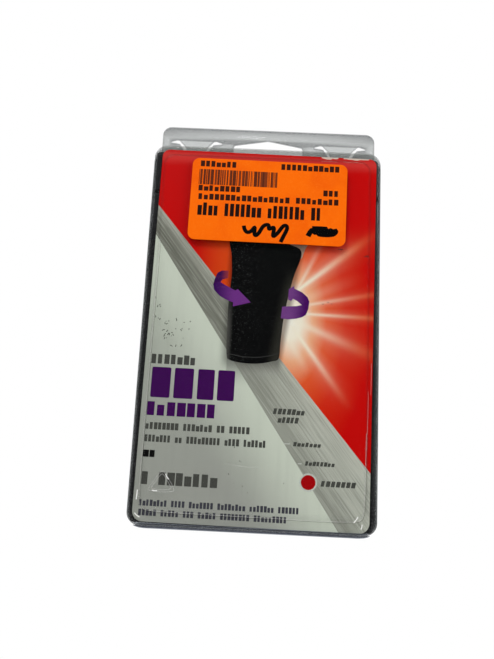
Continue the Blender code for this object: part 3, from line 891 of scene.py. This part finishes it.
def sheet_marks():
    """Marks on the front panel: handling dirt and scratches, a moulded mark in the lower corner
    with a painted highlight on it, painted glints, and a painted highlight and painted shade along
    the panel's rim.
    """
    wiggle = random.Random(12)
    dirt = []
    patches = [(-34, -25, -8, 2, 26, 0.26), (-38.5, -35.5, 0, 10, 7, 0.2),
               (36, 37.6, 28.2, 29.4, 3, 0.3), (26.5, 27.6, 30.6, 31.4, 2, 0.3),
               (19, 27, 10, 11.6, 4, 0.14), (-12, 12, -60, -40, 8, 0.12)]
    for x0, x1, z0, z1, count, size in patches:
        for _ in range(count):
            x, z = wiggle.uniform(x0, x1), wiggle.uniform(z0, z1)
            turn = wiggle.uniform(0, math.pi)
            reach = size * wiggle.uniform(0.5, 2.4)
            dirt.append([(x, z)] + [(x + far * math.cos(angle), z + far * math.sin(angle))
                                    for far, angle in ((reach, turn), (reach * 1.6, turn + 0.4))])
    scratches = [[(21, -41), (22.4, -42.6), (23.2, -44.6)], [(29.2, -57), (30.4, -58.4), (31, -60)],
                 [(38.3, -20), (38.5, -30), (38.2, -40)], [(36, -62), (36.6, -64.6), (35.4, -66)],
                 [(39.2, -10), (39.3, -15), (39.2, -21)], [(-9, -47), (-3, -48.2), (2, -48)],
                 [(24, 44), (25, 41), (24.6, 36)]]
    # the moulded mark is a real low ridge in the sheet; its pale hazed stroke is also a painted
    # highlight along it
    moulded = [[(-30.5 + size * x, -54.8 + size * z) for x, z in
                ((-1.0, -0.62), (0.0, -0.66), (1.0, -0.62), (1.02, -0.4), (0.55, 0.3), (0.1, 0.95),
                 (-0.1, 0.95), (-0.55, 0.3), (-1.02, -0.4))] for size in (4.4, 3.3)]
    # painted glints: small bright spots of light on the sheet by the moulded mark and in the lower
    # corners
    spots = [[(-29.4, -51.6), (-29.0, -52.6), (-28.2, -53.4)],
             [(-33.6, -57.3), (-32.6, -57.5), (-31.8, -57.4)],
             [(34.4, -64.2), (35.2, -63.4), (35.8, -62.2)],
             [(36.9, -66.2), (37.2, -65.4), (37.2, -64.6)],
             [(-38.6, -60.6), (-38.5, -58.8), (-38.5, -57.4)],
             [(-38.8, -65.0), (-38.0, -65.9), (-37.0, -66.3)]]
    # a painted highlight along the panel's rounded step, and just inside it a painted shade line
    half, low, turn = PANEL[0] / MM - 0.1, -64.3, 3.6
    rim = [(-half, low + 96), (-half, low + 60), (-half, low + 20), (-half, low + turn),
           (-half + 1.0, low + 1.0), (-half + turn, low), (-10, low), (10, low),
           (half - turn, low), (half - 1.0, low + 1.0), (half, low + turn), (half, low + 14),
           (half, low + 30)]
    grime = ink_material("dirt", (44, 44, 40), 0.8)
    # pale draws the real scratches and also the painted highlights on the moulded mark and the rim;
    # glint draws painted glints; shade draws the painted shade line
    pale = clear_plastic("scratch_and_highlight_sheet", (0.9, 0.9, 0.9, 1), 0.16, (0.95, 0.95, 0.92, 1.0), 0.3)
    glint = clear_plastic("painted_glint", (0.9, 0.9, 0.9, 1), 0.85, (1.0, 1.0, 0.97, 1.0), 0.2)
    shade = clear_plastic("rim_shade", (0.62, 0.63, 0.60, 1), 0.05, (0.3, 0.3, 0.3, 1.0), 0.2)
    on_panel = leaning_place(CARD_LOW, CARD_HIGH, CARD_LOW[1] - PANEL_OUTER)
    for name, lines, radius, mat, flatten in (
            ("panel_dirt", dirt, 0.12, grime, 0.1),
            ("panel_scratches", scratches, 0.05, pale, 0.2),
            ("panel_moulded_mark_highlight", moulded, 0.10, pale, 0.5),
            ("panel_glints", spots, 0.16, glint, 0.2),
            ("panel_rim_light", [rim], 0.09, pale, 0.2),
            ("panel_rim_shade", [[(x + 0.32, z - 0.32) for x, z in rim]], 0.06, shade, 0.2)):
        stroke(name, lines, radius, mat, on_panel, flatten, lines is moulded)


# ---- label

def label_paper():
    outline = rectangle(LABEL_HALF_WIDTH, -LABEL_HALF_HEIGHT, LABEL_HALF_HEIGHT, LABEL_RADIUS)
    stuck = LABEL_LOW[1] - PANEL_OUTER + 0.01 * MM
    shape = leaning_slabs([outline], LABEL_LOW, LABEL_HIGH, 0, stuck)
    rim = [edge for edge in shape.edges if any(len(face.verts) > 4 for face in edge.link_faces)]
    bmesh.ops.bevel(shape, geom=rim, offset=0.04 * MM, segments=2, affect="EDGES")
    paper = from_bmesh("label_paper", shape, label_material())
    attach(paper, "front_half")
    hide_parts("price_label")


def barcode():
    """A generic run of bars that encodes nothing."""
    wiggle = random.Random(31)
    x, dark, pale = -25.9, [], []
    while x < 3.0:
        width = wiggle.choice((0.2, 0.2, 0.4, 0.6))
        group = dark if wiggle.random() < 0.55 else pale
        group.append(block(x, min(x + width, 3.3), 5.5, 11.5, 0.02))
        x += width + wiggle.choice((0.0, 0.0, 0.2, 0.2, 0.4))
    return dark, pale


def label_print():
    rows = [(-25.6, -12.0, 12.6, 14.9, [7]), (4.2, 26.0, 12.7, 15.0, [11]),
            (-25.8, -10.0, 3.0, 5.2, [8]), (20.0, 26.0, 3.1, 5.4, [3]),
            (-25.6, 8.2, -0.4, 1.9, [17]), (10.1, 26.0, -0.3, 2.0, [8])]
    name_row = word_row(-25.6, 19.8, -6.5, -1.6, [4, 7, 7, 2], ink=0.7)
    dark, pale = barcode()
    for name, outlines, level, ink, color in (
            ("label_type", word_rows(rows), 0, "thermal_black", (58, 24, 12)),
            ("label_name", name_row, 0, "thermal_bold", (34, 14, 10)),
            ("label_bars_pale", pale, 0, "thermal_brown", (126, 54, 22)),
            ("label_bars_dark", dark, 1, "thermal_bars", (96, 42, 20))):
        inlay(name, outlines, level, ink_material(ink, color), LABEL_LOW, LABEL_HIGH)
    scribble = [(-8.4, -9.8), (-8.0, -12.4), (-5.6, -12.8), (-4.0, -8.6), (-4.8, -14.2),
                (-2.6, -12.6), (-1.6, -9.2), (1.2, -8.6), (0.2, -11.6), (3.4, -8.6), (1.6, -14.6),
                (4.4, -11.8), (6.0, -8.4), (8.2, -9.4), (6.2, -12.8), (5.2, -15.4)]
    blot = [(15.0, -12.6), (16.6, -8.6), (17.4, -12.8), (18.8, -8.6), (19.6, -12.8), (21.0, -8.6),
            (21.9, -12.8), (23.2, -8.6), (24.0, -12.8), (25.0, -8.8), (25.2, -12.2), (15.2, -11.4),
            (25.6, -10.8), (15.2, -10.0), (25.4, -9.4), (16.4, -9.6)]
    marker = ink_material("marker_black", (8, 8, 9), 0.3)
    on_label = leaning_place(LABEL_LOW, LABEL_HIGH, 0.03 * MM)
    stroke("label_scribble", [scribble], 0.72, marker, on_label)
    stroke("label_blot", [blot], 0.95, marker, on_label)


# ---- support

LAYER = 1.95 * MM                   # spacing of the four layers in each leaf
WALL = 1.80 * MM                    # thickness of the knit
LEAF_THICK = 4 * LAYER
SIDE_HALF = 41.6 * MM
FOLD_PRESS = 0.26                   # the walls press the folds this much narrower than round
RIB_PITCH, RIB_HEIGHT = mm(1.25, 0.20)
CUFF_TOP = CUFF_HIGH[2] + 1.9 * MM  # the soft cuffs stand up to just under the pack's top wall
LEAF_MIDDLE = (TUBE_LOW[1] + TUBE_HIGH[1]) / 2
FOLD_RADIUS = LEAF_THICK / 2 + 0.08 * MM
REAR_LEAF, FRONT_LEAF = LEAF_MIDDLE + FOLD_RADIUS, LEAF_MIDDLE - FOLD_RADIUS    # along Y


def folded_loop(rib_pitch=RIB_PITCH, per_rib=4):
    """The tube's wall in cross-section, folded to four layers.

    Returns points, outward normals, rib heights and lengths round one closed
    loop: outer layer, wrap at +X, outer layer back, then the two folded edges
    of the flattened tube at -X with the inner wrap between them."""
    outer, inner = 1.5 * LAYER, 0.5 * LAYER
    right = SIDE_HALF - outer * FOLD_PRESS - WALL / 2
    left = -SIDE_HALF + inner * FOLD_PRESS + WALL / 2
    points, ribs = [], []

    def walk(length, least, coarse, fine, at):
        """Points at even shares of the way, close together where ribs show."""
        count = max(least, round(length / (rib_pitch / per_rib if fine else coarse)))
        points.extend(at(index / count) for index in range(count))
        ribs.extend([float(fine)] * count)

    def run(x0, x1, v, fine):
        walk(abs(x1 - x0), 4, 7 * MM, fine, lambda share: (x0 + (x1 - x0) * share, v))

    def arc(centre_x, centre_v, radius, start, end, fine):
        def at(share):
            angle = (start + (end - start) * share) * math.pi / 2
            return (centre_x + radius * FOLD_PRESS * math.cos(angle),
                    centre_v + radius * math.sin(angle))
        walk(abs(end - start) * math.pi / 2 * radius, 8, 1.0 * MM, fine, at)

    run(left, right, outer, True)
    arc(right, 0, outer, 1, -1, True)
    run(right, left, -outer, False)
    arc(left, -LAYER, LAYER / 2, -1, -3, True)
    run(left, right, -inner, False)
    arc(right, 0, inner, -1, 1, False)
    run(right, left, inner, False)
    arc(left, LAYER, LAYER / 2, -1, -3, True)
    points = np.array(points)
    ahead = np.roll(points, -1, 0)
    tangent = ahead - np.roll(points, 1, 0)
    tangent /= np.linalg.norm(tangent, axis=1)[:, None]
    normals = np.stack([-tangent[:, 1], tangent[:, 0]], 1)
    spans = np.linalg.norm(ahead - points, axis=1)
    return points, normals, np.array(ribs), np.concatenate([[0], np.cumsum(spans)])


def side_room(y, z):
    """Half the width that the walls leave at depth y; the knit fills it and slackens upwards."""
    wall = np.interp(y, (BORDER_OUTER, -FLANGE_INNER, FLANGE_INNER, BACK_OUTER),
                     (FACE_HALF, MOUTH_HALF, MOUTH_HALF, BACK_HALF))
    height = max(0.0, (z - TUBE_LOW[2]) / (CUFF_HIGH[2] - TUBE_LOW[2]))
    slack = 0.12 * MM + 0.3 * MM * height ** 2 + 0.08 * MM * (1 + math.sin(z / (7 * MM)))
    return wall - SHEET - slack


def knit_surface(name, path, mat, rib_pitch=RIB_PITCH, wall=WALL, relief=RIB_HEIGHT, stride=3):
    """A closed knitted wall: the folded loop swept along path, with turned ends.

    path gives (y, z, outward y, outward z, squeeze) for each row."""
    points, normals, ribs, lengths = folded_loop(rib_pitch)
    wave = np.abs(np.sin(math.pi * lengths[:-1] / rib_pitch)) ** 0.7
    rows = []

    def row(station, reach, along=0.0):
        y, z, out_y, out_z, squeeze = station
        offset = wall / 2 * reach + (relief * ribs * (wave - 0.5) if reach > 0 else 0)
        flat = points + normals * np.asarray(offset).reshape(-1, 1)
        v = flat[:, 1] * squeeze
        x = flat[:, 0] * side_room(y + out_y * v, z) / SIDE_HALF
        softness = 0.22 * MM * np.sin(x / (9 * MM) + z / (23 * MM)) * np.sin(z / (14 * MM) + 1.3)
        v = v + softness * np.clip(squeeze, 0, 1)
        rows.append(np.stack([x, y + out_y * v - out_z * along, z + out_z * v + out_y * along], 1))

    def turned_edge(station, side, turns):
        for turn in turns:
            angle = turn * math.pi / 2
            row(station, math.cos(angle), side * wall / 2 * math.sin(angle))

    turns = (0.35, 0.7, 0.95, 1.05, 1.3, 1.65)    # quarter turns over the edge
    for station in path:
        row(station, 1.0)
    turned_edge(path[-1], 1, turns)
    for station in path[::-stride]:
        row(station, -1.0)
    turned_edge(path[0], -1, turns[::-1])
    return woven_piece(name, np.array(rows), mat)


def woven_piece(name, rows, mat):
    """A piece from rows of points that close in both directions."""
    index = np.arange(rows.shape[0] * rows.shape[1]).reshape(rows.shape[:2])
    right, up = np.roll(index, -1, 1), np.roll(index, -1, 0)
    faces = np.stack([index, right, np.roll(up, -1, 1), up], -1).reshape(-1, 4)
    mesh = bpy.data.meshes.new(name)
    mesh.from_pydata(rows.reshape(-1, 3).tolist(), [], faces.tolist())
    mesh.update()
    shape = bmesh.new()
    shape.from_mesh(mesh)
    bmesh.ops.recalc_face_normals(shape, faces=shape.faces)
    shape.to_mesh(mesh)
    shape.free()
    mesh.shade_smooth()
    return new_piece(name, mesh, mat)


def flat_cut(path):
    """Width and length of a tube's knit before it was folded along path."""
    points = folded_loop()[0]
    around = np.linalg.norm(np.roll(points, -1, 0) - points, axis=1).sum()
    track = np.array([station[:2] for station in path])
    return float(around), float(np.linalg.norm(np.diff(track, axis=0), axis=1).sum())


def support_tube(mat):
    top = CUFF_LOW[2] + 1.2 * MM
    bend_z = TUBE_LOW[2] + LEAF_THICK / 2 + FOLD_RADIUS - 0.45 * MM
    row_step, bend_steps = 2.2 * MM, 14
    path = []

    def straight(y, z_from, z_to, out_y):
        count = round(abs(z_to - z_from) / row_step)
        for index in range(count):
            z = z_from + (z_to - z_from) * index / count
            near_cuff = min(1.0, abs(z - top) / (12 * MM))
            path.append((y, z, out_y, 0.0, 0.93 + 0.07 * math.sin(near_cuff * math.pi / 2)))

    straight(REAR_LEAF, top, bend_z, 1.0)
    for index in range(bend_steps + 1):
        cosine = math.cos(math.pi * index / bend_steps)
        sine = math.sin(math.pi * index / bend_steps)
        path.append((LEAF_MIDDLE + FOLD_RADIUS * cosine, bend_z - FOLD_RADIUS * sine,
                     cosine, -sine, 1.0 - 0.06 * sine))
    straight(FRONT_LEAF, bend_z, top, -1.0)
    path.append((FRONT_LEAF, top, -1.0, 0.0, 0.93))
    tube = knit_surface("knit_tube", path, mat)
    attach(tube, "back_half")
    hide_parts("sleeve_tube")
    flat_cut(path)


def cuff(name, plane_y, outward, mat, thread_mat):
    """A turned cuff: a tighter, slightly thicker band over the end of the tube."""
    low, steps = CUFF_LOW[2], 9
    path = []
    for index in range(steps + 1):
        z = low + (CUFF_TOP - WALL / 2 - low) * index / steps
        swell = 0.985 + 0.035 * math.sin(math.pi * index / steps)
        path.append((plane_y, z, outward, 0.0, swell))
    if outward > 0:
        path.reverse()
    band = knit_surface(name + "_knit", path, mat, rib_pitch=0.9 * MM, wall=WALL * 1.12,
                        relief=0.10 * MM, stride=1)
    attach(band, "back_half")
    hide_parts(name)
    flat_cut(path)
    stitches(name + "_thread_zigzag", name + "_thread", plane_y, outward, low + 1.6 * MM,
             thread_mat)


def stitches(name, node, plane_y, outward, z, mat):
    """A zigzag of stretch stitching round the cuff's visible layers."""
    points, normals, _, lengths = folded_loop()
    last = np.argmax((points[:, 1] < 0) & (points[:, 0] > 0))
    track = points[:last] + normals[:last] * WALL * 0.60
    pitch, rise = mm(0.8, 0.75)
    stations = np.arange(pitch, lengths[last - 1], pitch)
    across, v = (np.interp(stations, lengths[:last], track[:, axis]) for axis in (0, 1))
    curve = round_line(name, 0.13 * MM, 1)
    add_spline(curve, "POLY", [(across[index], plane_y + outward * v[index],
                                z + (rise if index % 2 else -rise))
                               for index in range(len(stations))])
    mesh = curve_mesh(curve)
    mesh.shade_smooth()
    thread = new_piece(name, mesh, mat)
    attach(thread, "back_half")
    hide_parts(node)


def care_tag():
    """A blank satin tag caught in the cuff's seam."""
    low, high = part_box("care_label")
    width, height = high[0] - low[0], high[2] - low[2]
    columns, rows = 8, 24

    def curl(i, j):
        return 0.22 * MM * math.sin(math.pi * j / rows) * math.cos(2.2 * (i / columns - 0.5))

    shape = bmesh.new()
    bridge(shape, [[(low[0] + width * i / columns, low[1] + 0.05 * MM + curl(i, j),
                     high[2] - height * j / rows) for i in range(columns + 1)]
                   for j in range(rows + 1)], closed=False)
    tag = from_bmesh("satin_tag", shape, tag_material(), smooth=60)
    thicken(tag, 0.16 * MM, 0)
    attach(tag, "back_half")
    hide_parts("care_label")


def support():
    support_tube(knit_material("rib_knit", 5.2))
    cuff_knit, thread = knit_material("cuff_knit", 7.0), thread_material()
    cuff("thigh_cuff", REAR_LEAF, 1.0, cuff_knit, thread)
    cuff("calf_cuff", FRONT_LEAF, -1.0, cuff_knit, thread)
    care_tag()


# ---- studio

def surround():
    """White where the camera sees it; pale light, and a dim room in the reflections."""
    world = bpy.data.worlds.new("studio")
    bpy.context.scene.world = world
    world.use_nodes = True
    world.node_tree.nodes.clear()
    room = Nodes(world.node_tree)
    seen = room.add("Background", {"Color": (1, 1, 1, 1)})
    ambient = room.add("Background", {"Color": (1, 1, 1, 1), "Strength": 0.42})
    mirrored_room = room.add("Background", {"Color": (0.9, 0.95, 1.0, 1), "Strength": 0.07})
    glossy, seen_directly = (room.add("LightPath", output=f"Is {kind} Ray")
                             for kind in ("Glossy", "Camera"))
    lighting = room.add("MixShader", {0: glossy, 1: ambient, 2: mirrored_room})
    room.node("OutputWorld", {0: room.add("MixShader", {0: seen_directly, 1: lighting, 2: seen})})


def pale_floor():
    """A floor below the front half when it hangs open; it fades out towards its rim."""
    floor_z, radius = HINGE[2] - (TAB_TOP - HINGE[2]) - 40 * MM, 0.55
    bpy.ops.mesh.primitive_circle_add(vertices=64, radius=radius, fill_type="NGON",
                                      location=(0, 0, floor_z))
    floor = bpy.context.object
    floor.name = "floor"
    pale = Shader("pale_floor", 0.9, 0.1)
    mottle = pale.place().noise(0.01, 2.0)
    pale.finish(pale.mix(mottle, (246, 246, 246), (252, 252, 252)))
    distance = pale.place((0, 0, floor_z), (1, 1, 0)).vector("LENGTH", output="Value")
    floor.data.materials.append(pale.show(pale.add("MixShader", {
        0: distance.step(0.12, radius), 1: Value(pale, pale.surface.outputs[0]),
        2: pale.add("BsdfTransparent")})))


def softbox(name, place, size, power, mirrored=True):
    lamp = bpy.data.lights.new(name, "AREA")
    lamp.shape = "RECTANGLE"
    lamp.size, lamp.size_y = size
    lamp.energy = power
    holder = bpy.data.objects.new(name, lamp)
    holder.visible_camera = False    # it would show through the clear sheet
    holder.visible_glossy = mirrored
    holder.location = place
    direction = Vector((0, -0.01, (TAB_TOP + RIM_BOTTOM) / 2)) - Vector(place)
    holder.rotation_euler = direction.to_track_quat("-Z", "Y").to_euler()
    bpy.context.scene.collection.objects.link(holder)


def studio():
    """White surround, a pale floor below the hanging pack, and soft lights."""
    scene = bpy.context.scene
    scene.view_settings.view_transform = "Standard"
    scene.cycles.transparent_max_bounces = 32    # a look through crosses a dozen surfaces
    surround()
    pale_floor()
    softbox("key", (-0.35, -0.75, 0.75), (0.5, 0.5), 7.5)
    softbox("fill", (0.75, -0.55, 0.15), (0.5, 0.7), 3.2)
    softbox("back_fill", (0.2, 0.9, 0.5), (0.7, 0.7), 5.0, mirrored=False)


def camera():
    """The view of the photograph: close, a little below the middle, looking up."""
    lens_to_sensor = 780 / 659       # focal length over the frame's long side
    data = bpy.data.cameras.new("camera")
    data.sensor_width = 36.0
    data.lens = lens_to_sensor * data.sensor_width
    data.clip_start = 0.01
    view = bpy.data.objects.new("camera", data)
    view.location = (-0.00015, -0.28447, -0.14256)
    view.rotation_euler = [math.radians(angle) for angle in (103.024, -2.72, 0.32)]
    bpy.context.scene.collection.objects.link(view)
    bpy.context.scene.camera = view


for make in (camera, studio, shells, tongues, living_hinge, card_board, card_fields,
             printed_support, printed_ribbons, card_type, card_wear, sheet_marks, label_paper,
             label_print, support):
    make()
